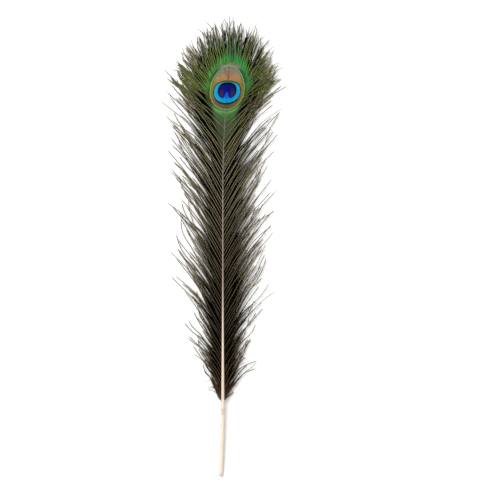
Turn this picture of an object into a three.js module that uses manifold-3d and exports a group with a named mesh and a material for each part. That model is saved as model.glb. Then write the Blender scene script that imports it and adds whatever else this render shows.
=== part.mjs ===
// A peacock's train feather, lying face up: a tapering shaft, bare at its cut end, that carries loose locks of barbs
// on both sides and ends in the closed, egg-shaped vane of the eye, with more locks fanning out from its rim.
// It grew as one piece, so it is one solid. Millimetres; +Y runs from the cut end to the tip, +Z is up from the
// surface that the feather lies on, and the origin is on that surface under the middle of the feather's box.
import * as THREE from "three";
import { mergeVertices } from "three/addons/utils/BufferGeometryUtils.js";
import Module from "manifold-3d";

const wasm = await Module();
wasm.setup();

// Driving dimensions
const LENGTH = 305; // cut end to the tips of the top barbs
const CUT_END = -LENGTH / 2;
const VANE_START = -100; // lowest barbs on the shaft
const EYE_Y = 101.9; // widest line of the eye
const EYE_HALF_WIDTH = 11.5;
const EYE_ABOVE = 16.9; // widest line to the eye's top
const EYE_BELOW = 11.3; // widest line to the eye's foot
const EYE_CROWN = 1.7; // height of the eye's face at its middle
const EYE_RIM = 0.7; // and at its rim
const SHAFT_RADIUS = [1.25, 1.05, 0.78, 0.54, 0.38, 0.2]; // at the heights along the shaft that follow
const SHAFT_AT = [CUT_END, VANE_START, -70, -20, 60, 116];
const SHAFT_ARCH = 4.2; // how far the shaft bows up off the surface at its middle
const EYE_LEAN = 2.75; // how far the shaft has leant sideways by the eye
const LEAN_FROM = 40;
const LEAN_OVER = 62;
const LEAN_STRAIGHT_FROM = 117;
const FOOT_LEAN = -1.5; // sideways bend of the bare quill at its cut end
const FOOT_FROM = -100;
const LOCKS_A_SIDE = 30;
const LOCK_PITCH = 6.5;
const LOCK_WIDTH = 3.1;
const LOCK_THICKNESS = 0.8;
const SWEPT_FROM = 52; // locks rooted above this swing out and round the eye
const SWEPT_BY = 88;
const RIM_LOCKS_A_SIDE = 8; // beside the one that stands on the eye's top
const RIM_STEP = 13; // degrees round the rim
const RIM_LOCK_WIDTH = 3.6;
const TIP_WIDTH = 0.5;

const radians = THREE.MathUtils.degToRad;
const smooth = THREE.MathUtils.smoothstep;
const lerp = THREE.MathUtils.lerp;

// A repeatable scatter between -1 and 1, different for each number.
const scatter = (n) => {
  const s = Math.sin(n * 12.9898) * 43758.5453;
  return 2 * (s - Math.floor(s)) - 1;
};

// A line through the pairs (at[i], value[i]), read at y.
function along(at, value, y) {
  let i = 1;
  while (i < at.length - 1 && y > at[i]) i += 1;
  const share = THREE.MathUtils.clamp((y - at[i - 1]) / (at[i] - at[i - 1]), 0, 1);
  return lerp(value[i - 1], value[i], share);
}

const shaftRadius = (y) => along(SHAFT_AT, SHAFT_RADIUS, y);

function shaftX(y) {
  if (y < FOOT_FROM) return FOOT_LEAN * ((FOOT_FROM - y) / (FOOT_FROM - CUT_END)) ** 2;
  if (y < LEAN_FROM) return 0;
  const bent = (Math.min(y, LEAN_STRAIGHT_FROM) - LEAN_FROM) / LEAN_OVER;
  const slope = (2 * EYE_LEAN * bent) / LEAN_OVER;
  return EYE_LEAN * bent ** 2 + slope * Math.max(0, y - LEAN_STRAIGHT_FROM);
}

function shaftZ(y) {
  const share = THREE.MathUtils.clamp((y - CUT_END) / (EYE_Y - EYE_BELOW - CUT_END), 0, 1);
  return shaftRadius(y) + SHAFT_ARCH * Math.sin(Math.PI * share);
}

// A closed three.js geometry as a solid.
function solid(geometry) {
  geometry.deleteAttribute("normal");
  geometry.deleteAttribute("uv");
  const merged = mergeVertices(geometry, 1e-4);
  const corners = merged.index.array;
  const kept = [];
  for (let i = 0; i < corners.length; i += 3) {
    const [a, b, c] = corners.slice(i, i + 3);
    if (a !== b && b !== c && c !== a) kept.push(a, b, c);
  }
  const made = new wasm.Manifold(
    new wasm.Mesh({
      numProp: 3,
      vertProperties: merged.attributes.position.array,
      triVerts: new Uint32Array(kept),
    }),
  );
  if (made.volume() > 0) return made;
  throw new Error("a piece is inside out");
}

// Moves every point of a geometry by a function of the point.
function reshape(geometry, move) {
  const points = geometry.attributes.position;
  const point = new THREE.Vector3();
  for (let i = 0; i < points.count; i += 1) {
    point.fromBufferAttribute(points, i);
    move(point);
    points.setXYZ(i, point.x, point.y, point.z);
  }
  return geometry;
}

function shaft() {
  const top = SHAFT_AT[SHAFT_AT.length - 1];
  const steps = 24;
  const profile = [new THREE.Vector2(0, CUT_END)];
  for (let i = 0; i <= steps; i += 1) {
    const y = lerp(CUT_END, top, i / steps);
    profile.push(new THREE.Vector2(shaftRadius(y), y));
  }
  profile.push(new THREE.Vector2(0, top));
  return solid(
    reshape(new THREE.LatheGeometry(profile, 10), (p) => {
      p.x += shaftX(p.y);
      p.z += shaftZ(p.y);
    }),
  );
}

// The eye's outline: its radius at an angle from +Y, a wide half-circle below and a longer half-ellipse above.
function eyeRadius(angle) {
  const tall = Math.cos(angle) > 0 ? EYE_ABOVE : EYE_BELOW;
  return 1 / Math.hypot(Math.sin(angle) / EYE_HALF_WIDTH, Math.cos(angle) / tall);
}

function eyeVane() {
  const rings = 5;
  const profile = [new THREE.Vector2(0, 0), new THREE.Vector2(1, 0)];
  for (let i = 0; i < rings; i += 1) {
    const out = 1 - i / rings;
    profile.push(new THREE.Vector2(out, lerp(EYE_CROWN, EYE_RIM, out ** 2)));
  }
  profile.push(new THREE.Vector2(0, EYE_CROWN));
  const dome = new THREE.LatheGeometry(profile, 40);
  dome.rotateX(Math.PI / 2); // its axis, +Y, now stands up along +Z
  return solid(
    reshape(dome, (p) => {
      const angle = Math.atan2(p.x, p.y);
      const radius = Math.hypot(p.x, p.y) * eyeRadius(angle);
      p.y = EYE_Y + radius * Math.cos(angle);
      p.x = shaftX(p.y) + radius * Math.sin(angle);
    }),
  );
}

// Where a lock runs: from a root, turning from one heading to another, and sinking from its root's height to the
// surface at its tip. Headings are radians from +Y; side is -1 for the left and 1 for the right.
function lockRoute({ x, y, z, side, length, from, to }) {
  const steps = 24;
  const route = [];
  for (let i = 0; i <= steps; i += 1) {
    const share = i / steps;
    const low = LOCK_THICKNESS / 2;
    route.push(new THREE.Vector3(x, y, low + (Math.max(z, low) - low) * (1 - share) ** 2));
    const heading = lerp(from, to, (i + 0.5) / steps);
    x += (side * Math.sin(heading) * length) / steps;
    y += (Math.cos(heading) * length) / steps;
  }
  return new THREE.CatmullRomCurve3(route);
}

function lock({ width, ...place }) {
  const sections = 7;
  const profile = [new THREE.Vector2(0, 0)];
  for (let i = 0; i <= sections; i += 1) {
    const share = i / sections;
    const wide = lerp(0.45, 1, smooth(share, 0, 0.4)) * lerp(1, TIP_WIDTH / width, smooth(share, 0.5, 1));
    profile.push(new THREE.Vector2(wide / 2, share));
  }
  profile.push(new THREE.Vector2(0, 1));
  const route = lockRoute(place);
  return solid(
    reshape(new THREE.LatheGeometry(profile, 4), (p) => {
      const centre = route.getPoint(p.y);
      const ahead = route.getTangent(p.y);
      const flat = Math.hypot(ahead.x, ahead.y);
      const aside = p.x * width;
      const up = p.z * LOCK_THICKNESS;
      p.set(centre.x + (aside * ahead.y) / flat, centre.y - (aside * ahead.x) / flat, centre.z + up);
    }),
  );
}

// The locks along the shaft: short at the foot, long over most of the vane, and bowed round the eye's foot.
function shaftLock(index, side) {
  const y = VANE_START + index * LOCK_PITCH;
  const share = (y - VANE_START) / (EYE_Y - VANE_START);
  const swept = smooth(y, SWEPT_FROM, SWEPT_BY);
  const full = lerp(28, 58, smooth(share, -0.05, 0.3)) - 12 * swept;
  return lock({
    x: shaftX(y),
    y,
    z: shaftZ(y),
    side,
    width: LOCK_WIDTH,
    length: full * (1 + 0.12 * scatter(index * 2 + side)),
    from: radians(28 + 28 * swept),
    to: radians(42 - 4 * swept + 10 * scatter(index * 7 + side)),
  });
}

// The locks that fan out of the eye's rim, over its top and down to its widest line. The middle one is the longest.
function rimLock(index, side) {
  const angle = radians(index * RIM_STEP);
  const radius = eyeRadius(angle) * 0.85;
  const y = EYE_Y + radius * Math.cos(angle);
  const heading = 0.4 * index * RIM_STEP;
  const full = CUT_END + LENGTH - (EYE_Y + 0.85 * EYE_ABOVE);
  return lock({
    x: shaftX(y) + side * radius * Math.sin(angle),
    y,
    z: EYE_RIM,
    side,
    width: RIM_LOCK_WIDTH,
    length: index ? full * (0.94 + 0.06 * scatter(index * 3 + side)) : full,
    from: radians(heading),
    to: radians(index ? heading + 5 * scatter(index * 7 + side) : 0),
  });
}

function feather() {
  let whole = shaft().add(eyeVane()).add(rimLock(0, 1));
  for (const side of [-1, 1]) {
    for (let i = 0; i < LOCKS_A_SIDE; i += 1) whole = whole.add(shaftLock(i, side));
    for (let i = 1; i <= RIM_LOCKS_A_SIDE; i += 1) whole = whole.add(rimLock(i, side));
  }
  const { vertProperties, triVerts, numProp } = whole.getMesh();
  if (numProp !== 3) throw new Error("the joined solid carries more than places");
  const geometry = new THREE.BufferGeometry()
    .setAttribute("position", new THREE.BufferAttribute(vertProperties, 3))
    .setIndex(new THREE.BufferAttribute(triVerts, 1));
  const barbs = new THREE.MeshStandardMaterial({ color: 0x5b553a, roughness: 0.6, metalness: 0 });
  const mesh = new THREE.Mesh(geometry, barbs);
  mesh.name = "feather";
  return mesh;
}

const part = new THREE.Group();
part.add(feather());

export default part;
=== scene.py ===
"""A peacock's train feather, lying face up on a pale table.

Its barbs are grown one by one along the solid feather's own locks: each has a tapering stem, the ramus, and
two rows of small blades, the barbules. The eye's barbs lie side by side on a thin closed vane. Shapes are
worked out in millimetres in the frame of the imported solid, +Y towards the tip and +Z up from the table, and
Blender gets metres.
"""

import math
from typing import NamedTuple

import bpy
import numpy as np
from bpy.props import FloatProperty, FloatVectorProperty, IntProperty, PointerProperty
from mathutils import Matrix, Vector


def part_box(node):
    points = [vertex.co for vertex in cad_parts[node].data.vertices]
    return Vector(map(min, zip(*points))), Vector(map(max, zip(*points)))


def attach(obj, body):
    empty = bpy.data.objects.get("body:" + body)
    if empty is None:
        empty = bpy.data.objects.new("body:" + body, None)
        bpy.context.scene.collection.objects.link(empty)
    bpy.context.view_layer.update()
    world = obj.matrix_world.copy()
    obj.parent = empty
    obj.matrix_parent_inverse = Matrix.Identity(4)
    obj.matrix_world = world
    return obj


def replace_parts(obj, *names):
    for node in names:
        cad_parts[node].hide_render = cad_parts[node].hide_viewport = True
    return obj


bl_info = {
    "name": "Peacock feather",
    "version": (1, 0, 0),
    "blender": (4, 5, 0),
    "location": "3D View > Sidebar > Feather",
    "description": "A peacock's train feather, grown barb by barb around its packed solid",
    "category": "Add Mesh",
}

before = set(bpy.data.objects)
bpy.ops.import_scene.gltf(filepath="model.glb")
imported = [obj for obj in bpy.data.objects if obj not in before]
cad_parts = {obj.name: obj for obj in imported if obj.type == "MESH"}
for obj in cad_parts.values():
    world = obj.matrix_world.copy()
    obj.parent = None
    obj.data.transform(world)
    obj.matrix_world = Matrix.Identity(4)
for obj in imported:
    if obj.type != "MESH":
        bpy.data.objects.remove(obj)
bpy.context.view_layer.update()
LOW, HIGH = (np.array(corner) * 1000 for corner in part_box("feather"))

# The solid's own measures, mm and degrees
CUT_END = LOW[1]
VANE_START = -100.0  # lowest locks on the shaft
EYE_Y = 101.9  # widest line of the eye
EYE_HALF_WIDTH = 11.5
EYE_ABOVE = 16.9
EYE_BELOW = 11.3
SHAFT_RADIUS = (1.25, 1.05, 0.78, 0.54, 0.38, 0.2)
SHAFT_AT = (CUT_END, VANE_START, -70.0, -20.0, 60.0, 116.0)
SHAFT_ARCH = 4.2
EYE_LEAN = 2.75
LEAN_FROM = 40.0
LEAN_OVER = 62.0
LEAN_STRAIGHT_FROM = 117.0
FOOT_LEAN = -1.5
FOOT_FROM = -100.0
LOCKS_A_SIDE = 30
LOCK_PITCH = 6.5
LOCK_THICKNESS = 0.8
SWEPT_FROM, SWEPT_BY = 52.0, 88.0
RIM_LOCKS_A_SIDE = 8
RIM_STEP = 13.0
RIM_ROOT = 0.85  # where the rim's locks start, as a share of the eye's radius

# What the visible feather adds, in mm and degrees too
EYE_SLOPE = 2 * EYE_LEAN / LEAN_OVER  # how far the shaft leans at the eye, mm sideways for each mm up
EYE_CROWN, EYE_RIM = 1.45, 0.5  # heights of the vane's face under the eye's barbs
VANE_THICKNESS = 0.06
VANE_REACH = 0.99  # of the eye's radius
VANE_LOWEST = 0.05  # how near the table its underside may come
EYE_BARBS_A_SIDE = 136
EYE_ROOTS = (13.0, -17.5)  # heights of their roots above the eye's widest line, the top one's first
EYE_LEAVES = (2, 54)  # how far off the shaft's line they leave it
EYE_BARBS_TO = 11.2  # how far round the rim the eye's barbs reach, counted in the rim's locks
BETWEEN_LOCKS = (25.5, 26.5, 27.5, 28.25, 28.5)  # where more barbs close the vane below the eye, all painted near-black as shade
ZONES = (
    ("lower", range(0, 10)),
    ("middle", range(10, 20)),
    ("upper", (*range(20, LOCKS_A_SIDE), *BETWEEN_LOCKS)),
)
SIDES = (("left", -1), ("right", 1))
LIT = 0.5  # light share from which a barb lies high in the light; under it a barb is painted near-black as shade
ALL_SHADED = 0.49  # brings every light share under LIT, so that all these barbs are painted as shade
DOWN_FROM, DOWN_TO = VANE_START - 3, VANE_START + 42  # downy barbs, one a side for each mm
STUBS_FROM, STUBS_TO = VANE_START - 24, VANE_START - 1
CLEAR_OF_TABLE = 0.02  # how near a barb may come
LINE_POINTS = 56  # on each barb's centre line, before it is cut into pieces of mesh
INNER_POINTS = 20  # of those, on the way across the eye's vane
RAMUS_STEP = 2.2  # mm of stem between its cross-sections
RAMUS_BELOW = 0.6  # how far its underside lies below its line, beside half its width
TAPER = 0.7  # under 1, a stem thins faster near its root
SLENDER_OVER = 0.45  # share of a barb over which its barbules shorten and lie down along it
BARE_TIP_FROM = 0.97  # share of a barb past which it carries no barbules
TIP_SLANT = 22  # degrees between barbule and stem at a barb's tip
BARBULE_ROOT = 0.35  # the value of "blade" where a barbule leaves its stem: 0 is the stem, 1 a barbule's tip
SHAFT_TOP = SHAFT_AT[-1]
GROOVE_DEPTH, GROOVE_SPREAD = 0.3, 0.35  # under the shaft: a share of its radius, and radians
PITH_RECESS = 0.4  # mm from the cut end in to the pith
PITH_SHARE, HOLLOW_SHARE = 0.68, 0.72  # of the shaft's radius, at the pith and at the cut end
STUB_SEED, EYE_SEED, BARB_SEED, DOWN_SEED = 11, 50, 100, 7

# The bake's map
MAP_NAME = "OFBake"
MAP_COLUMNS = 2
MAP_MARGIN = 1.02  # length of a strip, beside its mesh's longest barb

# The eye's colours, mm
COLOURS_BELOW = 12.2  # they run a little past its vane at the foot
FIELD_OVAL = (8.5, 7.0, 7.2)  # the blue field's half width and its heights above and below its middle
FIELD_LOWERED = 0.7  # from the eye's widest line to that middle
KIDNEY_OVAL = (6.05, 5.1, 5.75)  # the dark centre's, in the same order
KIDNEY_RAISED = 0.7
NOTCH_TOP = -1.2  # height of the notch in the dark centre
NOTCH_SLIT = 2.7  # how far down it stays narrow
FLAME_TOP = 42.0  # height of the green flame's point above the eye's widest line
FLAME_HALF_WIDTH = 16.5
FLAME_LEAN = 0.05  # mm sideways for each mm up

# The stage
CAMERA_LENS, CAMERA_SENSOR = 85.0, 36.0
PICTURE_WIDTH = 331.5  # mm of table that the picture takes in
PICTURE_CENTRE = (17.9, -3.3)
SKY_STRENGTH = 0.74
SOFTBOX_WATTS, SOFTBOX_SIZE = 24.0, 1.0
SOFTBOX_PLACE = (-0.7, 0.8, 1.3)  # metres, above and to the left


def linear(hex_code):
    """An sRGB hex colour as linear red, green and blue."""
    shares = [int(hex_code[i : i + 2], 16) / 255 for i in (1, 3, 5)]
    return tuple(s / 12.92 if s <= 0.04045 else ((s + 0.055) / 1.055) ** 2.4 for s in shares)


def smooth(x, low, high):
    share = np.clip((x - low) / (high - low), 0.0, 1.0)
    return share * share * (3 - 2 * share)


def mixed(a, b, share):
    return a + (b - a) * share


def scatter(n):
    """A repeatable value between -1 and 1, different for each number, as in the solid."""
    s = math.sin(n * 12.9898) * 43758.5453
    return 2 * (s - math.floor(s)) - 1


# ------------------------------------------------------------------------------------ the solid's own lines


def shaft_radius(y):
    return np.interp(y, SHAFT_AT, SHAFT_RADIUS)


def shaft_x(y):
    y = np.asarray(y, float)
    foot = FOOT_LEAN * (np.clip(FOOT_FROM - y, 0, None) / (FOOT_FROM - CUT_END)) ** 2
    bent = np.clip(np.minimum(y, LEAN_STRAIGHT_FROM) - LEAN_FROM, 0, None) / LEAN_OVER
    beyond = np.clip(y - LEAN_STRAIGHT_FROM, 0, None)
    return foot + EYE_LEAN * bent**2 + 2 * EYE_LEAN * bent / LEAN_OVER * beyond


def shaft_z(y):
    share = np.clip((y - CUT_END) / (EYE_Y - EYE_BELOW - CUT_END), 0, 1)
    return shaft_radius(y) + SHAFT_ARCH * np.sin(np.pi * share)


def eye_radius(angle):
    tall = np.where(np.cos(angle) > 0, EYE_ABOVE, EYE_BELOW)
    return 1 / np.hypot(np.sin(angle) / EYE_HALF_WIDTH, np.cos(angle) / tall)


def eye_face(x, y):
    """The height of the vane's face under a point, falling off past the eye's rim."""
    out = np.hypot(x - shaft_x(y), y - EYE_Y) / eye_radius(np.arctan2(x - shaft_x(y), y - EYE_Y))
    return mixed(EYE_CROWN, EYE_RIM, np.minimum(out, 1.05) ** 2)


class Lock(NamedTuple):
    """A lock's centre line: its root, its length, and its first and last heading in radians from +Y."""

    side: int
    x: float
    y: float
    z: float
    length: float
    start: float
    end: float

    def follow(self, share):
        """Places and headings along the lock; a share over 1 runs on past its tip."""
        turn = self.end - self.start or 1e-6
        heading = self.start + turn * share
        x = self.x + self.side * self.length * (math.cos(self.start) - np.cos(heading)) / turn
        y = self.y + self.length * (np.sin(heading) - math.sin(self.start)) / turn
        return x, y, heading


def shaft_lock(index, side):
    y = VANE_START + index * LOCK_PITCH
    share = (y - VANE_START) / (EYE_Y - VANE_START)
    swept = smooth(y, SWEPT_FROM, SWEPT_BY)
    full = mixed(28, 58, smooth(share, -0.05, 0.3)) - 12 * swept
    return Lock(
        side,
        float(shaft_x(y)),
        y,
        float(shaft_z(y)),
        full * (1 + 0.12 * scatter(index * 2 + side)),
        math.radians(28 + 28 * swept),
        math.radians(42 - 4 * swept + 10 * scatter(index * 7 + side)),
    )


def rim_lock(index, side):
    angle = math.radians(index * RIM_STEP)
    radius = float(eye_radius(angle)) * RIM_ROOT
    y = EYE_Y + radius * math.cos(angle)
    heading = 0.4 * index * RIM_STEP
    full = HIGH[1] - (EYE_Y + RIM_ROOT * EYE_ABOVE)
    return Lock(
        side,
        float(shaft_x(y)) + side * radius * math.sin(angle),
        y,
        EYE_RIM,
        full * (0.94 + 0.06 * scatter(index * 3 + side)) if index else full,
        math.radians(heading),
        math.radians(heading + 5 * scatter(index * 7 + side) if index else 0),
    )


# ---------------------------------------------------------------------------------------------------- meshes


class Growth:
    """Gathers barbs into one mesh. Each barb has two flat strips of its own on the bake's map, for its face
    and its back."""

    def __init__(self, half_strip):
        self.half_strip = half_strip
        self.barbs = 0
        self.corners = 0
        self.vertices, self.faces, self.maps = [], [], []
        self.along, self.blade, self.strand = [], [], []

    def add(self, vertices, faces, run, aside, is_back, along, blade, strand):
        """run and aside place each vertex on its barb's strip, in mm; is_back picks each face's strip."""
        self.vertices.append(vertices)
        self.faces.append(faces + self.corners)
        self.corners += len(vertices)
        back = np.repeat(is_back, 3)
        at = faces.ravel()
        self.maps.append(np.stack([run[at], aside[at], 2 * self.barbs + back], 1))
        self.along.append(along)
        self.blade.append(blade)
        self.strand.append(np.full(len(vertices), strand))

    def map_places(self):
        run, aside, strip = np.concatenate(self.maps).T
        rows = math.ceil(2 * self.barbs / MAP_COLUMNS)
        longest = run.max() * MAP_MARGIN
        u = (strip // rows + run / longest) / MAP_COLUMNS
        v = (strip % rows + 0.5 + 0.5 * aside / self.half_strip) / rows
        return np.stack([u, v], 1)

    def piece(self, name, material):
        return add_piece(
            name,
            np.concatenate(self.vertices),
            np.concatenate(self.faces),
            [material],
            values={
                "along": np.concatenate(self.along),
                "blade": np.concatenate(self.blade),
                "strand": np.concatenate(self.strand),
            },
            map_places=self.map_places(),
        )


def add_piece(name, vertices, triangles, materials, values=None, map_places=None, slot_of=None):
    """A mesh object from corners in mm, with any values that its material reads, in place of the solid."""
    mesh = bpy.data.meshes.new(name)
    mesh.vertices.add(len(vertices))
    mesh.vertices.foreach_set("co", (vertices / 1000).astype(np.float32).ravel())
    mesh.loops.add(triangles.size)
    mesh.loops.foreach_set("vertex_index", triangles.astype(np.int32).ravel())
    mesh.polygons.add(len(triangles))
    mesh.polygons.foreach_set("loop_start", np.arange(0, triangles.size, 3, dtype=np.int32))
    mesh.polygons.foreach_set("use_smooth", np.zeros(len(triangles), bool))
    if slot_of is not None:
        mesh.polygons.foreach_set("material_index", slot_of.astype(np.int32))
    mesh.update(calc_edges=True)
    for key, value in (values or {}).items():
        attribute = mesh.attributes.new(key, "FLOAT", "POINT")
        attribute.data.foreach_set("value", value.astype(np.float32))
    if map_places is not None:
        layer = mesh.uv_layers.new(name=MAP_NAME)
        layer.data.foreach_set("uv", map_places.astype(np.float32).ravel())
    for material in materials:
        mesh.materials.append(material)
    piece = bpy.data.objects.new(name, mesh)
    bpy.context.scene.collection.objects.link(piece)
    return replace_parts(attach(piece, "root"), "feather")


def closed_skin(rings, ends):
    """The corners and triangles of a skin over rings of points, fanned in to one point at each end."""
    around = len(rings[0])
    last, middle = (len(rings) - 1) * around, len(rings) * around
    faces = []
    for a in range(last):
        b = a + 1 if (a + 1) % around else a + 1 - around
        faces += [[a, a + around, b], [b, a + around, b + around]]
    for j in range(around):
        k = (j + 1) % around
        faces += [[middle, j, k], [middle + 1, last + k, last + j]]
    return np.concatenate([*rings, ends]), np.array(faces)


def unit(vectors):
    return vectors / np.linalg.norm(vectors, axis=-1, keepdims=True)


class Style(NamedTuple):
    """How a barb is built round its centre line. Lengths are in mm."""

    stem: float  # width of the ramus at its root
    tip: float  # and at its tip
    barbule: float  # longest barbule
    pitch: float  # between barbules on a side
    blade: float  # width of a barbule where it leaves the ramus
    slant: float  # degrees between a barbule and the ramus ahead of it
    drawn_in: float  # how long the barbules are at the tip, beside the longest
    slender_from: float  # share of the barb at which they begin to shorten and to lie along it
    root_share: float = 0.45  # how long the barbules are at the root, beside the longest
    full_by: float = 0.12  # share of the barb at which they reach their full length


LOOSE = Style(
    stem=0.6, tip=0.36, barbule=1.35, pitch=0.31, blade=0.56,
    slant=46, drawn_in=0.7, slender_from=0.3, root_share=0.75,
)
EYE = Style(
    stem=0.4, tip=0.28, barbule=1.1, pitch=0.3, blade=0.5,
    slant=42, drawn_in=0.6, slender_from=0.55, root_share=0.6,
)
DOWN = Style(
    stem=0.34, tip=0.16, barbule=1.1, pitch=0.36, blade=0.3,
    slant=50, drawn_in=0.4, slender_from=0.3,
)


def grow_barb(growth, line, style, strand, roll, random):
    """Adds one barb along a centre line. roll is its turn about its length, in radians, at root and tip."""
    steps = np.linalg.norm(np.diff(line, axis=0), axis=1)
    run = np.concatenate([[0], np.cumsum(steps)])
    total = run[-1]
    ahead_line = unit(np.gradient(line, run, axis=0))

    def frame_at(s):
        place = np.stack([np.interp(s, run, line[:, i]) for i in range(3)], 1)
        ahead = unit(np.stack([np.interp(s, run, ahead_line[:, i]) for i in range(3)], 1))
        aside = unit(np.cross(ahead, (0, 0, 1)))
        up = np.cross(aside, ahead)
        turn = mixed(*roll, s / total)[:, None]
        cos, sin = np.cos(turn), np.sin(turn)
        return place, ahead, aside * cos + up * sin, up * cos - aside * sin

    # The ramus: a three-sided stem, its ridge up, closed at the root and drawn out to a point at the tip.
    count = max(6, math.ceil(total / RAMUS_STEP))
    s = np.linspace(0, total, count + 1)
    place, ahead, aside, up = frame_at(s)
    half = mixed(style.stem, style.tip, (s / total) ** TAPER)[:, None] / 2
    left = place - aside * half - up * half * RAMUS_BELOW
    right = place + aside * half - up * half * RAMUS_BELOW
    rings = np.stack([left, right, place + up * half], 1)
    vertices = np.concatenate([rings.reshape(-1, 3), place[-1:] + ahead[-1:] * style.tip])
    vertices[:, 2] = np.maximum(vertices[:, 2], CLEAR_OF_TABLE)
    first = 3 * np.arange(count)[:, None]
    sides = []
    for a, b in ((0, 1), (1, 2), (2, 0)):
        sides.append(np.concatenate([first + [a, b, a + 3], first + [b, b + 3, a + 3]]))
    last, point = 3 * count, 3 * count + 3
    ends = np.array(
        [[0, 2, 1], [last, last + 1, point], [last + 1, last + 2, point], [last + 2, last, point]]
    )
    is_back = np.concatenate([np.ones(2 * count), np.zeros(4 * count), [0, 1, 0, 0]])
    lateral = np.concatenate([(half * [-1, 1, 0]).ravel(), [0]])
    along = np.concatenate([np.repeat(s / total, 3), [1]])
    growth.add(
        vertices,
        np.concatenate(sides + [ends]),
        np.concatenate([np.repeat(s, 3), [total]]),
        lateral,
        is_back,
        along,
        np.zeros(len(vertices)),
        strand,
    )

    # The barbules: a closed blade each, four triangles.
    s = np.arange(0.5 * style.pitch, total * BARE_TIP_FROM, style.pitch)
    place, ahead, aside, up = frame_at(s)
    t = s / total
    outer = smooth(t, style.slender_from, style.slender_from + SLENDER_OVER)
    swell = mixed(style.root_share, 1, smooth(t, 0, style.full_by)) * mixed(1, style.drawn_in, outer)
    stem = mixed(style.stem, style.tip, t**TAPER) / 2
    for side in (-1, 1):
        ragged = mixed(1, 0.3, outer)
        length = style.barbule * swell * (0.97 + ragged * random.uniform(-0.17, 0.17, len(s)))
        slant = np.radians(mixed(style.slant, TIP_SLANT, outer) + ragged * random.uniform(-9, 9, len(s)))
        rise = ragged * random.uniform(-0.25, 0.15, len(s))
        out = ahead * np.cos(slant)[:, None] + side * aside * np.sin(slant)[:, None] + up * rise[:, None]
        tips = place + out * length[:, None]
        wide = ahead * style.blade / 2
        blades = np.stack([place - wide, place + wide, tips, place + up * stem[:, None] * 0.9], 1)
        vertices = blades.reshape(-1, 3)
        vertices[:, 2] = np.maximum(vertices[:, 2], CLEAR_OF_TABLE)
        pattern = np.array([[0, 1, 2], [0, 2, 3], [1, 3, 2], [0, 3, 1]])
        if side < 0:
            pattern = pattern[:, ::-1]
        faces = (4 * np.arange(len(s))[:, None, None] + pattern).reshape(-1, 3)
        half_blade = style.blade / 2
        reach = length * np.sin(slant)
        ahead_by = s + length * np.cos(slant)
        zero = np.zeros(len(s))
        growth.add(
            vertices,
            faces,
            np.stack([s - half_blade, s + half_blade, ahead_by, s], 1).ravel(),
            side * (style.stem / 2 + np.stack([zero, zero, reach, zero], 1)).ravel(),
            np.tile([1, 0, 0, 0], len(s)),
            np.repeat(t, 4),
            np.tile([BARBULE_ROOT, BARBULE_ROOT, 1.0, BARBULE_ROOT], len(s)),
            strand,
        )
    growth.barbs += 1


def shade(order, random):
    """A barb's share of light from 0 to 1. Each third barb lies high, over LIT, in the light; the others lie
    low, under it, and are painted near-black as the shade between the high ones.
    """
    return (int(order % 3 == 1) + random.uniform()) / 2


def wave_and_hook(share, random, least, swings, hook_from, hook_mean):
    """How far a barb strays sideways along its length: a slow wave, and a hook at its tip."""
    wave = random.uniform(least, 0.5) * np.sin(share * random.uniform(*swings) + random.uniform(0, 6.3))
    hook = random.normal(hook_mean, 2.0) * (np.clip(share - hook_from, 0, None) / (1 - hook_from)) ** 3
    return wave * smooth(share, 0, 0.4) + hook


def barb_in_lock(lock, random, place, shift, clump, reach, stray, lift):
    """The centre line of one loose barb. place runs from -1 to 1 across the lock, shift is how far along the
    shaft from the lock's middle it is rooted, reach is its length beside the lock's, stray says that it
    leaves the lock, and lift is how high it lies in it."""
    share = np.linspace(0, reach, LINE_POINTS)
    x, y, heading = lock.follow(share)
    # It leaves the shaft at its own root and joins the lock as it goes.
    root_y = lock.y + shift
    radius = float(shaft_radius(root_y))
    still = 1 - smooth(share, 0, 0.42)
    x = x + still * (float(shaft_x(root_y)) - lock.x + lock.side * 0.6 * radius)
    y = y + still * shift
    # Across the lock: its own place, a splay past the middle, a drift, a slow wave and a hooked tip
    late = np.clip(share - 0.45, 0, None)
    splay = place * 1.5 + random.normal(1.0, 2.2)
    if stray:
        splay += random.choice([-1, 1]) * random.uniform(2, 5.5)
    wavy = wave_and_hook(share, random, 0.1, (7, 16), 0.6, -1.8)
    drift = random.normal(0, 0.7) * smooth(share, 0.1, 0.6)
    across = place * clump * smooth(share, 0, 0.4) + splay * late**2 * 3.3 + drift + wavy
    x = x + lock.side * np.cos(heading) * across
    y = y - np.sin(heading) * across
    # Up: it sinks with the lock to the table, lifted by its own height in it, and its tip may curl up.
    low = LOCK_THICKNESS / 2
    sink = np.clip(1 - share, 0, 1) ** 2
    z = low + (max(lock.z + 0.35 * radius, low) - low) * sink
    z = z + lift * smooth(share, 0, 0.3) + abs(random.normal(0, 1.1)) * late**2 * 3
    return np.stack([x, y, z], 1)


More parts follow.
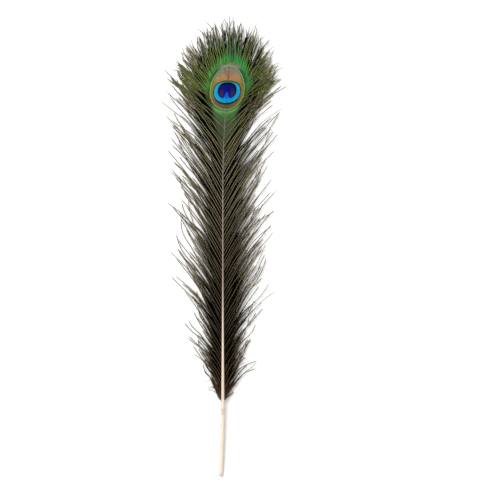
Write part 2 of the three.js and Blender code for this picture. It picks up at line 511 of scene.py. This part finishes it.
def eye_barb(index, side, random, light_share):
    """The centre line of one of the eye's barbs. index counts the rim's locks from the top, with the share
    between two of them. The barb leaves the shaft, crosses the vane to the rim and runs on loose, drawn a
    little towards the nearest lock."""
    lock = rim_lock(index, side)
    nearest = rim_lock(min(RIM_LOCKS_A_SIDE, round(index)), side)
    rim = np.array([lock.x, lock.y])
    # Over the vane: a smooth curve from the shaft to the rim
    down = index / RIM_LOCKS_A_SIDE
    root_y = EYE_Y + mixed(*EYE_ROOTS, down**0.85)
    root = np.array([float(shaft_x(root_y)) + side * 0.1, root_y])
    first, last = math.radians(mixed(*EYE_LEAVES, min(down, 1) ** 0.6)), lock.start
    span = np.linalg.norm(rim - root)
    t = np.linspace(0, 1, INNER_POINTS)[:, None]
    leave = span * np.array([side * math.sin(first), math.cos(first)])
    arrive = span * np.array([side * math.sin(last), math.cos(last)])
    inner = (
        (2 * t**3 - 3 * t**2 + 1) * root
        + (t**3 - 2 * t**2 + t) * leave
        + (3 * t**2 - 2 * t**3) * rim
        + (t**3 - t**2) * arrive
    )
    # Past the rim: along the lock, turned, waved and hooked in its own way
    reach = random.uniform(0.86, 1.03) if light_share > LIT else random.uniform(0.62, 0.95)
    share = np.linspace(0, reach, LINE_POINTS - INNER_POINTS + 1)[1:]
    x, y, heading = lock.follow(share)
    near_x, near_y, _ = nearest.follow(share)
    drawn = random.uniform(0, 0.55) * smooth(share, 0.3, 1.0)
    turn = random.normal(0, 2.4) * share**2
    wavy = wave_and_hook(share, random, 0.12, (9, 17), 0.65, 0)
    outer = np.stack([mixed(x, near_x, drawn), mixed(y, near_y, drawn)], 1)
    outer += np.stack([side * np.cos(heading), -np.sin(heading)], 1) * (turn + wavy)[:, None]
    flat = np.concatenate([inner, outer])
    # Up: on the vane, or on the shaft near its root, and down to the table past the rim
    by_shaft = 1 - smooth(np.abs(flat[:, 0] - shaft_x(flat[:, 1])), 0.4, 4.0)
    on_vane = np.maximum(eye_face(flat[:, 0], flat[:, 1]), shaft_z(flat[:, 1]) * by_shaft)
    on_vane = on_vane + 0.1 * random.uniform()
    loose = np.concatenate([np.zeros(len(inner)), share])
    z = mixed(on_vane, LOCK_THICKNESS / 2 + 0.9 * light_share, smooth(loose, 0.03, 0.35))
    z = z + abs(random.normal(0, 1.0)) * np.clip(loose - 0.5, 0, None) ** 2 * 4
    return np.concatenate([flat, z[:, None]], 1)


# ------------------------------------------------------------------------------------------------- materials


def node(tree, kind, *inputs, **settings):
    """Adds a node. Inputs fill its sockets in use in order, and settings its named sockets or its own fields.
    Either may be a number, a colour or its hex code, or a node or socket to link from."""
    new = tree.nodes.new("ShaderNode" + kind)
    for key in [k for k in settings if hasattr(new, k)]:
        setattr(new, key, settings.pop(key))
    sockets = [s for s in new.inputs if s.enabled]
    for socket, value in [*zip(sockets, inputs), *((new.inputs[k], v) for k, v in settings.items())]:
        if isinstance(value, bpy.types.Node):
            value = next(s for s in value.outputs if s.enabled)
        if isinstance(value, bpy.types.NodeSocket):
            tree.links.new(value, socket)
            continue
        if isinstance(value, str):
            value = linear(value)
        socket.default_value = (*value, 1) if socket.type == "RGBA" else value
    return new


def new_material(name):
    material = bpy.data.materials.new(name)
    material.use_nodes = True
    material.node_tree.nodes.clear()
    return material, material.node_tree


def finish_material(tree, colour, roughness, specular=0.5):
    gloss = {"Roughness": roughness, "Specular IOR Level": specular}
    surface = node(tree, "BsdfPrincipled", **{"Base Color": colour}, **gloss)
    node(tree, "OutputMaterial", Surface=surface)


def places_mm(tree):
    """Where a point lies on the part, in mm, so that each pattern has its real size."""
    return node(tree, "VectorMath", node(tree, "TexCoord").outputs["Object"], operation="SCALE", Scale=1000.0)


def mask(tree, *limits):
    """The product of its limits. Each is another mask, a plain number, or a value with the ends of a soft
    run: 0 up to the first end and 1 from the second, or the other way about where the first is higher."""
    result = None
    for limit in limits:
        if isinstance(limit, tuple):
            limit = node(tree, "MapRange", *limit, interpolation_type="SMOOTHSTEP")
        result = limit if result is None else node(tree, "Math", result, limit, operation="MULTIPLY")
    return result


def paint(tree, colour, *layers):
    """Lays colours over one another in order. Each layer is a colour and the limits of its mask."""
    for over, *limits in layers:
        colour = node(tree, "Mix", mask(tree, *limits), colour, over, data_type="RGBA")
    return colour


def past_oval(tree, u, v, half_width, above, below, power=2.0):
    """How far outside an oval a point lies, in mm along the line from the oval's middle, and below 0 inside
    it. The oval is an ellipse at a power of 2, and grows squarer with the power."""
    up = node(tree, "Math", v, 0.0, operation="GREATER_THAN")
    tall = node(tree, "Math", up, above - below, below, operation="MULTIPLY_ADD")
    wide = node(tree, "Math", node(tree, "Math", u, half_width, operation="DIVIDE"), operation="ABSOLUTE")
    high = node(tree, "Math", node(tree, "Math", v, tall, operation="DIVIDE"), operation="ABSOLUTE")
    powers = [node(tree, "Math", side, power, operation="POWER") for side in (wide, high)]
    out = node(tree, "Math", node(tree, "Math", *powers, operation="ADD"), 1 / power, operation="POWER")
    out = node(tree, "Math", out, 0.001, operation="MAXIMUM")
    squares = [node(tree, "Math", side, 2.0, operation="POWER") for side in (u, v)]
    length = node(tree, "Math", node(tree, "Math", *squares, operation="ADD"), operation="SQRT")
    to_edge = node(tree, "Math", length, out, operation="DIVIDE")
    return node(tree, "Math", length, to_edge, operation="SUBTRACT")


def eye_colours(tree, look, u, v, side, ring_gap, barb_shift, strand2):
    """The eye's fields, from the ring inwards: bronze, blue, and a dark centre with a notch."""
    # Bronze: mauve at the top, copper at the foot, with a dark line where the shaft shows
    bronze = paint(
        tree,
        "#6E5E45",
        ("#8E7E38", (v, -8.0, -1.0)),
        ("#966444", (side, 3.0, 6.5), (v, -1.0, -5.5), 0.75),
        (look.bronze_color, (v, 4.0, 9.0)),
        ("#948474", (v, 7.0, 13.5)),
        ("#6E4C36", (strand2, 0.5, 1.0), 0.5),
        ("#5A3A34", (side, 0.45, 0.1), (v, 4.0, 8.0), 0.6),
    )

    # The blue field, squarer at its top, and the dark centre in it, with a notch that opens out downwards
    from_middle = node(tree, "Math", v, FIELD_LOWERED, operation="ADD")
    squarer = past_oval(tree, u, from_middle, *FIELD_OVAL, 2.6)
    rounder = past_oval(tree, u, from_middle, *FIELD_OVAL, 2.05)
    field = node(tree, "Mix", mask(tree, (from_middle, -3.0, 1.0)), rounder, squarer, data_type="FLOAT")
    blue_gap = node(tree, "Math", barb_shift, 0.25, field, operation="MULTIPLY_ADD")
    blues = [
        look.cyan_color,
        ("#38ACB8", (blue_gap, -1.8, -0.3), 0.6),
        ("#2298BC", (v, 2.0, 6.0)),
        ("#3E9488", (v, 4.4, 5.8)),
        ("#1E8894", (v, -5.6, -7.8), 0.7),
        ("#1762D4", (v, -6.6, -3.4), (v, 2.0, 0.0), (side, 3.0, 0.4)),
    ]
    raised = node(tree, "Math", v, -KIDNEY_RAISED, operation="ADD")
    dark_gap = past_oval(tree, u, raised, *KIDNEY_OVAL, 2.3)
    blues.append(("#1256C8", (dark_gap, 0.8, 0.1), (v, 3.0, -1.0), (side, 1.0, 3.2), 0.8))
    depth = node(tree, "Math", NOTCH_TOP, v, operation="SUBTRACT")
    depth = node(tree, "Math", depth, 0.0, operation="MAXIMUM")
    slit = node(tree, "Math", node(tree, "Math", depth, 0.6, operation="POWER"), 0.8, operation="MULTIPLY")
    past_slit = node(tree, "Math", depth, NOTCH_SLIT, operation="SUBTRACT")
    past_slit = node(tree, "Math", past_slit, 0.0, operation="MAXIMUM")
    flare = node(tree, "Math", past_slit, 1.5, operation="POWER")
    notch_half = node(tree, "Math", flare, 1.4, slit, operation="MULTIPLY_ADD")
    past_notch = node(tree, "Math", side, notch_half, operation="SUBTRACT")
    notch = mask(tree, (past_notch, 0.25, -0.25), (v, NOTCH_TOP, NOTCH_TOP - 0.5))
    kidney = mask(tree, (dark_gap, 0.2, -0.2), node(tree, "Math", 1.0, notch, operation="SUBTRACT"))
    dark_rim = node(tree, "Math", v, 0.1, dark_gap, operation="MULTIPLY_ADD")
    kidney_colours = paint(
        tree,
        look.kidney_color,
        ("#241C54", (side, 1.2, 4.4)),
        ("#48305E", (side, 1.2, 3.6), (v, 2.5, -3.0), 0.9),
        ("#030308", (dark_rim, -1.5, -0.2)),
        ("#1A50C2", (v, 0.5, -2.2), (side, 1.6, 0.2)),
    )

    # All laid over the bronze, and the ring over all
    return paint(
        tree,
        bronze,
        ("#50502C", (ring_gap, -1.3, -0.9), 0.4),
        ("#3E5A34", (ring_gap, -1.4, -0.9), (v, 0.0, 8.0), 0.8),
        ("#04363F", (blue_gap, 0.9, 0.4)),
        ("#04363F", (blue_gap, 1.4, 0.8), (v, -4.0, -7.0)),
        (paint(tree, *blues), (blue_gap, 0.2, -0.2)),
        (kidney_colours, kidney),
        (look.ring_color, (ring_gap, -0.75, -0.45), (v, -14.0, -5.0)),
        (look.ring_color, (ring_gap, -0.5, -0.3)),
        ("#74B47C", (ring_gap, -0.75, -0.45), (v, 4.0, 13.0)),
    )


def barb_keratin(look):
    """Barbs of melanin-dark keratin, whose packed barbules throw back one colour each: from above the eye
    shows flat, saturated fields with soft edges, and the loose barbs are olive brown with a paler stem and a
    low satin gloss."""
    material, tree = new_material("barb_keratin")
    places = places_mm(tree)
    x, y, _ = node(tree, "SeparateXYZ", places).outputs
    along, blade, strand = (
        node(tree, "Attribute", attribute_name=key, attribute_type="GEOMETRY").outputs["Fac"]
        for key in ("along", "blade", "strand")
    )
    # v runs up from the eye's widest line and u sideways from the shaft, both in mm.
    v = node(tree, "Math", y, EYE_Y, operation="SUBTRACT")
    shaft = node(tree, "Math", v, EYE_SLOPE, EYE_LEAN, operation="MULTIPLY_ADD")
    u = node(tree, "Math", x, shaft, operation="SUBTRACT")
    side = node(tree, "Math", u, operation="ABSOLUTE")
    # Two more values from 0 to 1 for each barb, unlike its first
    strand2, strand3 = (
        node(tree, "Math", node(tree, "Math", strand, factor, operation="MULTIPLY"), operation="FRACT")
        for factor in (7.31, 23.7)
    )

    # Loose barbs: olive, greener round the eye, browner down the shaft, and darker at their roots with
    # painted shade near the shaft
    eye_gap = past_oval(tree, u, v, EYE_HALF_WIDTH, EYE_ABOVE, COLOURS_BELOW)
    mottle = node(tree, "TexNoise", places, Scale=0.22, Detail=2.0)  # patches 4 to 5 mm across
    round_eye = mask(tree, (eye_gap, 36.0, 8.0), (v, -10.0, 6.0))
    lower_roots = mask(tree, (y, 70.0, -60.0), (along, 0.9, 0.2))
    loose = paint(
        tree,
        look.barb_color,
        ("#605A44", strand2, 0.9),
        ("#5F6230", (strand3, 0.7, 0.95)),
        ("#4A3A2A", (mottle, 0.5, 0.72)),
        ("#4E5C2E", (eye_gap, 34.0, 6.0), 0.6),
        ("#56712F", round_eye, 0.8),
        ("#645C3A", (along, 0.45, 0.85), 0.85),
        ("#2C2016", lower_roots, 0.8),
        ("#3C2B1E", (y, -76.0, -94.0)),
        # painted shade near the shaft, over each barb's root
        ("#1D1A11", (along, 0.3, 0.05), 0.5),
    )

    # Green round the eye: a wedge down the shaft, a bright patch under the ring, and a pointed flame above
    # it, whose edges fray from barb to barb
    barb_shift = node(tree, "Math", strand3, 0.5, operation="SUBTRACT")
    ring_gap = node(tree, "Math", barb_shift, 0.35, eye_gap, operation="MULTIPLY_ADD")
    frayed_gap = node(tree, "Math", strand2, 1.6, ring_gap, operation="MULTIPLY_ADD")
    below = mask(tree, (v, -4.0, -10.0))
    to_apex = node(tree, "MapRange", v, 0.0, FLAME_TOP, 1.0, 0.0)
    leaning = node(tree, "Math", v, -FLAME_LEAN, u, operation="MULTIPLY_ADD")
    off_axis = node(tree, "Math", leaning, operation="ABSOLUTE")
    past_flame = node(tree, "Math", to_apex, -FLAME_HALF_WIDTH, off_axis, operation="MULTIPLY_ADD")
    frayed_flame = node(tree, "Math", strand2, -4.0, past_flame, operation="MULTIPLY_ADD")
    flame = mask(tree, (v, -1.0, 9.0), (frayed_flame, 0.5, -3.5), (to_apex, 0.0, 0.3))
    bright = mask(tree, flame, (ring_gap, 9.0, 3.5))
    down_shaft = node(tree, "Math", ring_gap, 0.33, side, operation="MULTIPLY_ADD")
    green = paint(
        tree,
        loose,
        ("#5E6A4E", below, (ring_gap, 42.0, 4.0), (down_shaft, 13.0, 7.0), 0.9),
        ("#5C8E52", below, (ring_gap, 12.0, 2.0), (side, 10.0, 5.0)),
        ("#78B866", below, (ring_gap, 4.5, 0.5), (side, 10.5, 6.0), 0.85),
        ("#50804A", flame),
        ("#3A5C30", flame, (strand3, 0.5, 0.9)),
        (look.green_color, bright),
        ("#62A044", bright, (u, 1.0, -6.0), 0.75),
        ("#2C7A3A", bright, (strand3, 0.6, 0.95)),
        ("#36483A", (v, 3.0, 7.0), (ring_gap, 3.0, 1.4), 0.8),
        ("#948278", (v, 13.0, 17.0), (frayed_gap, 3.6, 2.0), 0.9),
        ("#2C4430", (v, 6.0, 1.0), (ring_gap, 1.8, 0.8), 0.6),
    )
    eye = eye_colours(tree, look, u, v, side, ring_gap, barb_shift, strand2)
    face = paint(tree, green, (eye, (ring_gap, 0.1, -0.15)))

    # On a loose barb the stem is pale, its own paler keratin with a painted highlight along it, and the
    # barbules' tips are nearly black: dark barbules deepened by painted shade. The low barbs are painted
    # near-black as the shade between the high ones. In the eye they are all one colour, and nearly so where
    # the green barbs above and below it are matted together.
    matted = [mask(tree, below, (down_shaft, 11.5, 7.5)), mask(tree, flame, (ring_gap, 14.0, 5.0))]
    matted = node(tree, "Math", *matted, operation="MAXIMUM")
    unmatted = node(tree, "Math", matted, -0.65, 1.0, operation="MULTIPLY_ADD")
    loosened = mask(tree, (ring_gap, 0.6, 4.0), unmatted)
    pale = paint(
        tree,
        face,
        (look.ramus_color, (ring_gap, -20.0, 24.0)),
        ("#AECA6C", round_eye, 0.65),
        ("#6A5C4A", lower_roots),
        ("#86694C", (y, -62.0, -94.0)),
    )
    # Out past the vane's middle a barb's end is seen alone, with no neighbours to shade it, so less painted
    # shade is laid on it.
    outside = [mask(tree, (y, 80.0, 50.0)), mask(tree, (side, 17.0, 26.0))]
    outside = node(tree, "Math", *outside, operation="MAXIMUM")
    alone = mask(tree, (along, 0.4, 0.85), outside)
    dark_tips = node(tree, "Math", alone, -0.5, 1.0, operation="MULTIPLY_ADD")
    low_barb_shade = node(tree, "Math", alone, -0.75, 1.0, operation="MULTIPLY_ADD")
    not_foot = node(tree, "MapRange", y, -86.0, -100.0, 1.0, 0.5)
    # the pale stem is the ramus's own paler keratin with a painted highlight along it, fading towards the tip
    pale_to = node(tree, "MapRange", along, 0.5, 1.0, 1.0, 0.5)
    on_stem = mask(tree, (blade, 0.34, 0.2))
    stemmed = paint(
        tree,
        face,
        # the barbules' tips: dark barbules, deepened by painted shade in the gaps between barbs
        ("#040303", (blade, 0.4, 0.7), loosened, dark_tips, not_foot),
        (pale, on_stem, loosened, pale_to),
        # painted shade: the low barbs near-black, as if in the shade of the high ones
        ("#030303", (strand, LIT + 0.02, LIT - 0.1), loosened, low_barb_shade, not_foot),
    )

    # The back has no colour play: it is brown, with paler stems.
    _, _, facing = node(tree, "SeparateXYZ", node(tree, "NewGeometry").outputs["True Normal"]).outputs
    plain = paint(tree, "#4C4034", ("#8E7E68", on_stem))
    finish_material(tree, paint(tree, stemmed, (plain, (facing, -0.25, -0.6))), roughness=0.55, specular=0.02)
    return material


def quill_keratin(look):
    """A shaft of bare horn, smooth and a little waxy: ivory where it was stripped and all along its back,
    tan and then grey-green between the barbs, with fine grain along its length and brown stains where barbs
    came off."""
    material, tree = new_material("quill_keratin")
    places = places_mm(tree)
    _, y, _ = node(tree, "SeparateXYZ", places).outputs
    _, _, facing = node(tree, "SeparateXYZ", node(tree, "NewGeometry").outputs["Normal"]).outputs
    drawn = node(tree, "VectorMath", places, (1.0, 0.05, 1.0), operation="MULTIPLY")
    grain = node(tree, "TexNoise", drawn, Scale=3.2, Detail=3.0)  # 0.3 mm across, 6 mm long
    stain = node(tree, "TexNoise", places, Scale=0.35, Detail=2.0)  # 3 mm across
    colour = paint(
        tree,
        look.quill_color,
        ("#DCC09C", (grain, 0.5, 0.75), 0.45),
        ("#CFA987", (stain, 0.52, 0.7), (y, -150.0, -118.0), 0.8),
        ("#DCC8B4", (y, -108.0, -96.0)),
        # painted shade down the shaft's flanks, where it turns from the light, with the warmer tone of the
        # horn's edges
        ("#CFA283", (facing, 0.8, 0.2), 0.6),
        ("#877767", (y, -74.0, -8.0)),
        ("#586048", (y, 10.0, 75.0)),
        ("#D8C8AE", (facing, -0.1, -0.6), 0.7),
    )
    finish_material(tree, colour, roughness=0.34)
    return material


def quill_pith():
    """The shaft's foamy core, cut across: matt and almost white, with pores too small to show as more than
    mottling."""
    material, tree = new_material("quill_pith")
    pores = node(tree, "TexNoise", places_mm(tree), Scale=6.0, Detail=2.0)  # 0.2 mm
    finish_material(tree, paint(tree, "#F2EADB", ("#CDB89A", (pores, 0.5, 0.7))), roughness=0.9)
    return material


def torn_keratin():
    """The split ends of stripped barbs: dry, matt and fibrous, brown as the barbs were."""
    material, tree = new_material("torn_keratin")
    fibres = node(tree, "TexNoise", places_mm(tree), Scale=0.9, Detail=2.0)  # a tint for each stub or two
    colour = paint(tree, "#B08C66", ("#6E4E34", (fibres, 0.42, 0.6)))
    finish_material(tree, colour, roughness=0.85, specular=0.2)
    return material


def matt_card(name, shade):
    """Uncoated card: no gloss, and only a breath of unevenness."""
    material, tree = new_material(name)
    fibres = node(tree, "TexNoise", places_mm(tree), Scale=0.9)  # 1 mm
    finish_material(tree, paint(tree, shade, ("#F4F4F2", fibres, 0.02)), roughness=0.95, specular=0.1)
    return material


# ------------------------------------------------------------------------------------------------ the add-on


def colour_property(name, description, hex_code):
    return FloatVectorProperty(
        name=name, description=description, default=linear(hex_code), subtype="COLOR", min=0, max=1
    )


class FeatherSizes(bpy.types.PropertyGroup):
    barbs_a_lock: IntProperty(
        name="Barbs a lock", description="Barbs that lie together in one lock", default=6, min=2, max=12
    )
    lock_spread: FloatProperty(
        name="Lock spread",
        description="Half the width of a lock at its middle, mm",
        default=2.0,
        min=0.2,
        max=3,
    )
    stray_share: FloatProperty(
        name="Strays",
        description="Share of the long barbs that leave their lock",
        default=0.3,
        min=0,
        max=1,
        subtype="FACTOR",
    )
    floor_size: FloatProperty(
        name="Table", description="Width of the table top", default=4.0, min=0.5, max=20, unit="LENGTH"
    )


class FeatherLook(bpy.types.PropertyGroup):
    barb_color: colour_property("Barbs", "Loose barbs", "#46422D")
    ramus_color: colour_property("Barb stems", "The pale stem of each loose barb", "#BCB28F")
    green_color: colour_property("Plumes", "Green barbs beside and above the eye", "#36984B")
    ring_color: colour_property("Ring", "The eye's outer ring", "#90B05A")
    bronze_color: colour_property("Bronze", "The field inside the ring", "#B28A56")
    cyan_color: colour_property("Blue", "The bright field round the eye's dark centre", "#109ED0")
    kidney_color: colour_property("Centre", "The eye's dark centre", "#061A7C")
    quill_color: colour_property("Quill", "The bare quill", "#E8D8C6")
    floor_color: colour_property("Table", "The table top", "#F8F8F8")


class FEATHER_OT_quill(bpy.types.Operator):
    """The shaft, bare at its cut end, with its groove below and the stubs of stripped barbs"""

    bl_idname = "feather.quill"
    bl_label = "Quill"

    def execute(self, context):
        look = context.scene.feather_look
        around, rings = 20, 150
        y = CUT_END + (SHAFT_TOP - CUT_END) * np.linspace(0, 1, rings)
        angle = np.linspace(0, 2 * np.pi, around, endpoint=False)
        groove = GROOVE_DEPTH * np.exp(-(((angle - 1.5 * np.pi) / GROOVE_SPREAD) ** 2))
        # Its section is a little squared off.
        round_x = np.sign(np.cos(angle)) * np.abs(np.cos(angle)) ** 0.85
        round_z = np.sign(np.sin(angle)) * np.abs(np.sin(angle)) ** 0.9 * 0.98 + groove

        def ring(at, share):
            radius = float(shaft_radius(at)) * share
            x, z = shaft_x(at) + radius * round_x, shaft_z(at) + radius * round_z
            return np.stack([x, np.full(around, at), z], 1)

        hollow = [ring(CUT_END + PITH_RECESS, PITH_SHARE), ring(CUT_END, HOLLOW_SHARE)]
        loops = [*hollow, *(ring(at, 1.0) for at in y), ring(SHAFT_TOP + 0.1, 0.4)]
        ends = [
            [float(shaft_x(CUT_END)), CUT_END + PITH_RECESS, float(shaft_z(CUT_END))],
            [float(shaft_x(SHAFT_TOP)), SHAFT_TOP + 0.2, float(shaft_z(SHAFT_TOP))],
        ]
        vertices, faces = closed_skin(loops, ends)
        # The pith is the first band and the fan inside it, which takes turns with the fan at the tip.
        horn, pith, torn = range(3)
        slots = np.full(len(faces), horn)
        slots[: 2 * around] = pith
        slots[-2 * around :: 2] = pith
        stub_vertices, stub_faces = self.stubs(len(vertices))
        vertices = np.concatenate([vertices, stub_vertices])
        faces = np.concatenate([faces, stub_faces])
        slots = np.concatenate([slots, np.full(len(stub_faces), torn)])
        materials = [quill_keratin(look), quill_pith(), torn_keratin()]
        piece = add_piece("quill", vertices, faces, materials, slot_of=slots)
        piece.data.polygons.foreach_set("use_smooth", slots != torn)
        return {"FINISHED"}

    def stubs(self, first):
        """What is left of the barbs that were stripped: four-sided splinters down both sides."""
        random = np.random.default_rng(STUB_SEED)
        vertices, faces = [], []
        for side in (-1, 1):
            for y in np.arange(STUBS_FROM, STUBS_TO, 0.8):
                radius = float(shaft_radius(y))
                x, z = float(shaft_x(y)) + side * radius * 0.86, float(shaft_z(y)) + radius * 0.3
                root = np.array([x, y, z])
                longer = 1.4 * float(smooth(y, VANE_START - 14, VANE_START))
                length = random.uniform(0.3, 1.2) + longer * random.uniform()
                lean = math.radians(random.uniform(12, 40))
                out = np.array([side * math.sin(lean), math.cos(lean), random.uniform(-0.1, 0.2)])
                tip = root + length * out
                n = first + len(vertices)
                vertices += [root + [0, -0.2, 0.0], root + [0, 0.2, 0.0], root + [0, 0, 0.16], tip]
                new = [[0, 1, 2], [0, 3, 1], [1, 3, 2], [2, 3, 0]]
                faces += [[n + i for i in (f if side < 0 else f[::-1])] for f in new]
        return np.array(vertices), faces


class FEATHER_OT_eye_vane(bpy.types.Operator):
    """The eye's closed vane: a thin, slightly domed web of hooked barbules, which the barbs run through"""

    bl_idname = "feather.eye_vane"
    bl_label = "Eye vane"

    def execute(self, context):
        rings, around = 18, 96
        angle = np.linspace(0, 2 * np.pi, around, endpoint=False)
        levels = []
        face = [(i / rings, 0) for i in range(1, rings + 1)]
        for out, below in face + [(out, VANE_THICKNESS) for out, _ in reversed(face)]:
            radius = eye_radius(angle) * out * VANE_REACH
            y = EYE_Y + radius * np.cos(angle)
            x = shaft_x(y) + radius * np.sin(angle)
            z = eye_face(x, y) - below
            levels.append(np.stack([x, y, np.maximum(z, VANE_LOWEST)], 1))
        ends = [[float(shaft_x(EYE_Y)), EYE_Y, EYE_CROWN - below] for below in (0, VANE_THICKNESS)]
        vertices, faces = closed_skin(levels, ends)
        shares = {"along": 0.3, "blade": 0.7, "strand": 0.4}
        values = {key: np.full(len(vertices), share) for key, share in shares.items()}
        piece = add_piece("eye_vane", vertices, faces, [bpy.data.materials["barb_keratin"]], values=values)
        piece.data.polygons.foreach_set("use_smooth", np.ones(len(faces), bool))
        return {"FINISHED"}


class FEATHER_OT_eye_barbs(bpy.types.Operator):
    """The barbs that cross the eye side by side and run on past its rim as the loose top of the feather"""

    bl_idname = "feather.eye_barbs"
    bl_label = "Eye barbs"

    def execute(self, context):
        material = bpy.data.materials["barb_keratin"]
        for name, side in SIDES:
            random = np.random.default_rng(EYE_SEED + side)
            growth = Growth(half_strip=1.15)
            for i in range(EYE_BARBS_A_SIDE):
                light_share = shade(i, random)
                line = eye_barb(EYE_BARBS_TO * (i + 0.5) / EYE_BARBS_A_SIDE, side, random, light_share)
                roll = (random.normal(0, 0.08), random.normal(0, 0.6))
                grow_barb(growth, line, EYE, light_share, roll, random)
            growth.piece("eye_barbs_" + name, material)
        return {"FINISHED"}


class FEATHER_OT_barbs(bpy.types.Operator):
    """The loose barbs on both sides of the shaft, in locks"""

    bl_idname = "feather.barbs"
    bl_label = "Barbs"

    def execute(self, context):
        sizes = context.scene.feather_sizes
        material = bpy.data.materials["barb_keratin"]
        for name, side in SIDES:
            for zone, indices in ZONES:
                random = np.random.default_rng(BARB_SEED + 10 * side + indices[0])
                growth = Growth(half_strip=1.25)
                for index in indices:
                    lock = shaft_lock(index, side)
                    swept = smooth(lock.y, SWEPT_FROM, SWEPT_BY)
                    gather = random.uniform(0.95, 1.2) + 0.4 * swept
                    count = sizes.barbs_a_lock + round(3 * swept)
                    for k in range(count):
                        light_share = shade(k, random)
                        # the barbs between the locks all lie low, painted near-black as shade filling the
                        # gaps
                        if index in BETWEEN_LOCKS:
                            light_share = ALL_SHADED * light_share
                        place = 2 * (k + 0.5) / count - 1 + random.normal(0, 0.1)
                        if light_share > LIT:
                            reach = random.uniform(0.88, 1.05)
                            stray = random.uniform() < sizes.stray_share
                        else:
                            reach = random.uniform(0.5, 0.86) + 0.12 * swept
                            stray = False
                        line = barb_in_lock(
                            lock,
                            random,
                            place,
                            shift=-place * LOCK_PITCH / 2,
                            clump=sizes.lock_spread * gather,
                            reach=reach,
                            stray=stray,
                            lift=1.1 * light_share * (1 - 0.8 * swept),
                        )
                        roll = (random.normal(0, 0.2), random.normal(0, 0.5))
                        grow_barb(growth, line, LOOSE, light_share, roll, random)
                piece = growth.piece(f"barbs_{name}_{zone}", material)
        return {"FINISHED"}


class FEATHER_OT_foot_down(bpy.types.Operator):
    """Short dark downy barbs where the vane begins"""

    bl_idname = "feather.foot_down"
    bl_label = "Foot down"

    def execute(self, context):
        material = bpy.data.materials["barb_keratin"]
        random = np.random.default_rng(DOWN_SEED)
        growth = Growth(half_strip=1.8)
        for side in (-1, 1):
            for y in np.arange(DOWN_FROM, DOWN_TO, 1.0):
                lock = Lock(
                    side,
                    float(shaft_x(y)) + side * float(shaft_radius(y)) * 0.7,
                    y,
                    float(shaft_z(y)),
                    random.uniform(4, 10) + min(0.45 * (y - DOWN_FROM), 10),
                    math.radians(random.uniform(10, 48)),
                    math.radians(random.uniform(5, 70)),
                )
                place = random.uniform(-1, 1)
                line = barb_in_lock(
                    lock, random, place, shift=0.0, clump=0.4, reach=1.0, stray=False, lift=0.5
                )
                light_share = LIT + (1 - LIT) * random.uniform()
                roll = (0.0, random.normal(0, 0.5))
                grow_barb(growth, line, DOWN, light_share, roll, random)
        growth.piece("foot_down", material)
        return {"FINISHED"}


class FEATHER_OT_stage(bpy.types.Operator):
    """A pale table, soft light from all round and above left, and a camera looking straight down"""

    bl_idname = "feather.stage"
    bl_label = "Table, light and camera"

    def execute(self, context):
        scene = context.scene
        half = scene.feather_sizes.floor_size / 2
        mesh = bpy.data.meshes.new("table")
        corners = [(-half, -half, 0), (half, -half, 0), (half, half, 0), (-half, half, 0)]
        mesh.from_pydata(corners, [], [(0, 1, 2, 3)])
        mesh.materials.append(matt_card("table_card", tuple(scene.feather_look.floor_color)))
        table = bpy.data.objects.new("table", mesh)
        scene.collection.objects.link(table)

        world = bpy.data.worlds.new("studio")
        world.use_nodes = True
        background = world.node_tree.nodes["Background"]
        background.inputs["Color"].default_value = (1, 1, 1, 1)
        background.inputs["Strength"].default_value = SKY_STRENGTH
        scene.world = world

        lamp = bpy.data.lights.new("softbox", "AREA")
        lamp.shape, lamp.size = "SQUARE", SOFTBOX_SIZE
        lamp.energy = SOFTBOX_WATTS
        softbox = bpy.data.objects.new("softbox", lamp)
        softbox.location = SOFTBOX_PLACE
        softbox.rotation_euler = (-softbox.location).to_track_quat("-Z", "Y").to_euler()
        scene.collection.objects.link(softbox)

        lens = bpy.data.cameras.new("camera")
        lens.lens, lens.sensor_width = CAMERA_LENS, CAMERA_SENSOR
        camera = bpy.data.objects.new("camera", lens)
        distance = PICTURE_WIDTH * CAMERA_LENS / CAMERA_SENSOR
        camera.location = (PICTURE_CENTRE[0] / 1000, PICTURE_CENTRE[1] / 1000, distance / 1000)
        scene.collection.objects.link(camera)
        scene.camera = camera
        scene.view_settings.view_transform = "Standard"
        return {"FINISHED"}


OPERATORS = (
    FEATHER_OT_quill,
    FEATHER_OT_eye_vane,
    FEATHER_OT_eye_barbs,
    FEATHER_OT_barbs,
    FEATHER_OT_foot_down,
    FEATHER_OT_stage,
)


class FEATHER_PT_panel(bpy.types.Panel):
    bl_idname = "FEATHER_PT_panel"
    bl_label = "Feather"
    bl_space_type = "VIEW_3D"
    bl_region_type = "UI"
    bl_category = "Feather"

    def draw(self, context):
        for group in (context.scene.feather_sizes, context.scene.feather_look):
            for name in group.bl_rna.properties.keys():
                if name not in ("rna_type", "name"):
                    self.layout.prop(group, name)
        for operator in OPERATORS:
            self.layout.operator(operator.bl_idname)


CLASSES = (FeatherSizes, FeatherLook, *OPERATORS, FEATHER_PT_panel)


def register():
    for cls in CLASSES:
        bpy.utils.register_class(cls)
    bpy.types.Scene.feather_sizes = PointerProperty(type=FeatherSizes)
    bpy.types.Scene.feather_look = PointerProperty(type=FeatherLook)


def unregister():
    del bpy.types.Scene.feather_look
    del bpy.types.Scene.feather_sizes
    for cls in reversed(CLASSES):
        bpy.utils.unregister_class(cls)


def main():
    register()
    barb_keratin(bpy.context.scene.feather_look)
    for operator in OPERATORS:
        group, name = operator.bl_idname.split(".")
        getattr(getattr(bpy.ops, group), name)()


if __name__ == "__main__":
    main()
